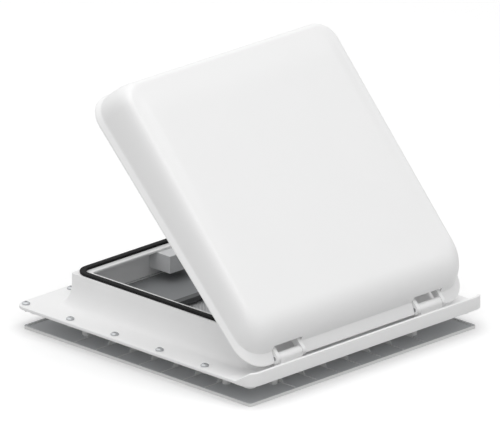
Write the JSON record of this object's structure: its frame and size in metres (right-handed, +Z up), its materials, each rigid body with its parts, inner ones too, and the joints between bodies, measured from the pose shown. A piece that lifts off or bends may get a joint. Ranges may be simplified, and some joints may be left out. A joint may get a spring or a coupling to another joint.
{
  "type": "caravan roof vent",
  "caption": "Square roof vent with a flanged frame, rubber-sealed upstand, hinged domed lid on slotted stays, and a ceiling frame with insect screen and sliding shade.",
  "frame": {"origin": "centre of the vent on the underside of the ceiling frame", "axes": "+Z up through the roof, X along the lid hinge, the hinge on the -Y side"},
  "size_m": [0.48, 0.48, 0.4056],
  "materials": {
    "white_plastic": "moulded white ABS, satin gloss",
    "grey_plastic": "moulded light grey ABS, fine texture",
    "shade_plastic": "extruded mid grey plastic, satin",
    "seal_rubber": "black EPDM rubber, matt",
    "steel": "zinc-plated steel",
    "black_plastic": "moulded black nylon",
    "net": "woven glass-fibre insect net, coated"
  },
  "bodies": {
    "frame": {"outer_frame": "white_plastic", "frame_seal": "seal_rubber", "flange_screws": "steel", "inner_frame": "grey_plastic", "clamp_screws": "steel", "latch_housing": "grey_plastic", "screen_frame": "grey_plastic", "screen_net": "net", "blind_pocket": "shade_plastic", "blind_rail_left": "grey_plastic", "blind_rail_right": "grey_plastic", "frame_hinge_left": "white_plastic", "frame_hinge_right": "white_plastic", "hinge_pin_left": "steel", "hinge_pin_right": "steel", "stay_bracket_left": "white_plastic", "stay_bracket_right": "white_plastic", "stay_pin_left": "steel", "stay_pin_right": "steel"},
    "lid": {"lid_shell": "white_plastic", "lid_liner": "white_plastic", "lid_handle": "white_plastic", "lid_hinge_left": "white_plastic", "lid_hinge_right": "white_plastic", "lid_track_left": "white_plastic", "lid_track_right": "white_plastic", "catch_post_left": "white_plastic", "catch_post_right": "white_plastic"},
    "shade": {"shade_panel": "shade_plastic", "shade_bar": "shade_plastic"},
    "stay_left": {"stay_left": "steel", "stay_stud_left": "steel"},
    "knob_left": {"stay_knob_left": "black_plastic"},
    "catch_left": {"catch_left": "black_plastic"},
    "stay_right": {"stay_right": "steel", "stay_stud_right": "steel"},
    "knob_right": {"stay_knob_right": "black_plastic"},
    "catch_right": {"catch_right": "black_plastic"}
  },
  "joints": [
    {"name": "lid_hinge", "type": "hinge", "parent": "frame", "child": "lid", "pos_m": [0, -0.219, 0.0545], "axis": [1, 0, 0], "range_deg": [-45, 20]},
    {"name": "stay_left_pivot", "type": "hinge", "parent": "frame", "child": "stay_left", "pos_m": [-0.1515, -0.109, 0.0545], "axis": [1, 0, 0], "range_deg": [-90, 40]},
    {"name": "stay_right_pivot", "type": "hinge", "parent": "frame", "child": "stay_right", "pos_m": [0.1515, -0.109, 0.0545], "axis": [1, 0, 0], "range_deg": [-90, 40]},
    {"name": "knob_left_turn", "type": "hinge", "parent": "stay_left", "child": "knob_left", "pos_m": [-0.1357, -0.109, 0.1645], "axis": [1, 0, 0], "continuous": true},
    {"name": "catch_left_turn", "type": "hinge", "parent": "lid", "child": "catch_left", "pos_m": [-0.07, 0.02318, 0.3285], "axis": [0, -0.7071, 0.7071], "range_deg": [0, 90]},
    {"name": "knob_right_turn", "type": "hinge", "parent": "stay_right", "child": "knob_right", "pos_m": [0.1357, -0.109, 0.1645], "axis": [1, 0, 0], "continuous": true},
    {"name": "catch_right_turn", "type": "hinge", "parent": "lid", "child": "catch_right", "pos_m": [0.07, 0.02318, 0.3285], "axis": [0, 0.7071, -0.7071], "range_deg": [0, 90]},
    {"name": "shade_slide", "type": "slide", "parent": "frame", "child": "shade", "axis": [0, -1, 0], "range_m": [0, 0.065]}
  ],
  "couplings": [
    {"joint": "stay_left_pivot", "follows": "lid_hinge", "ratio": 2},
    {"joint": "stay_right_pivot", "follows": "lid_hinge", "ratio": 2}
  ]
}
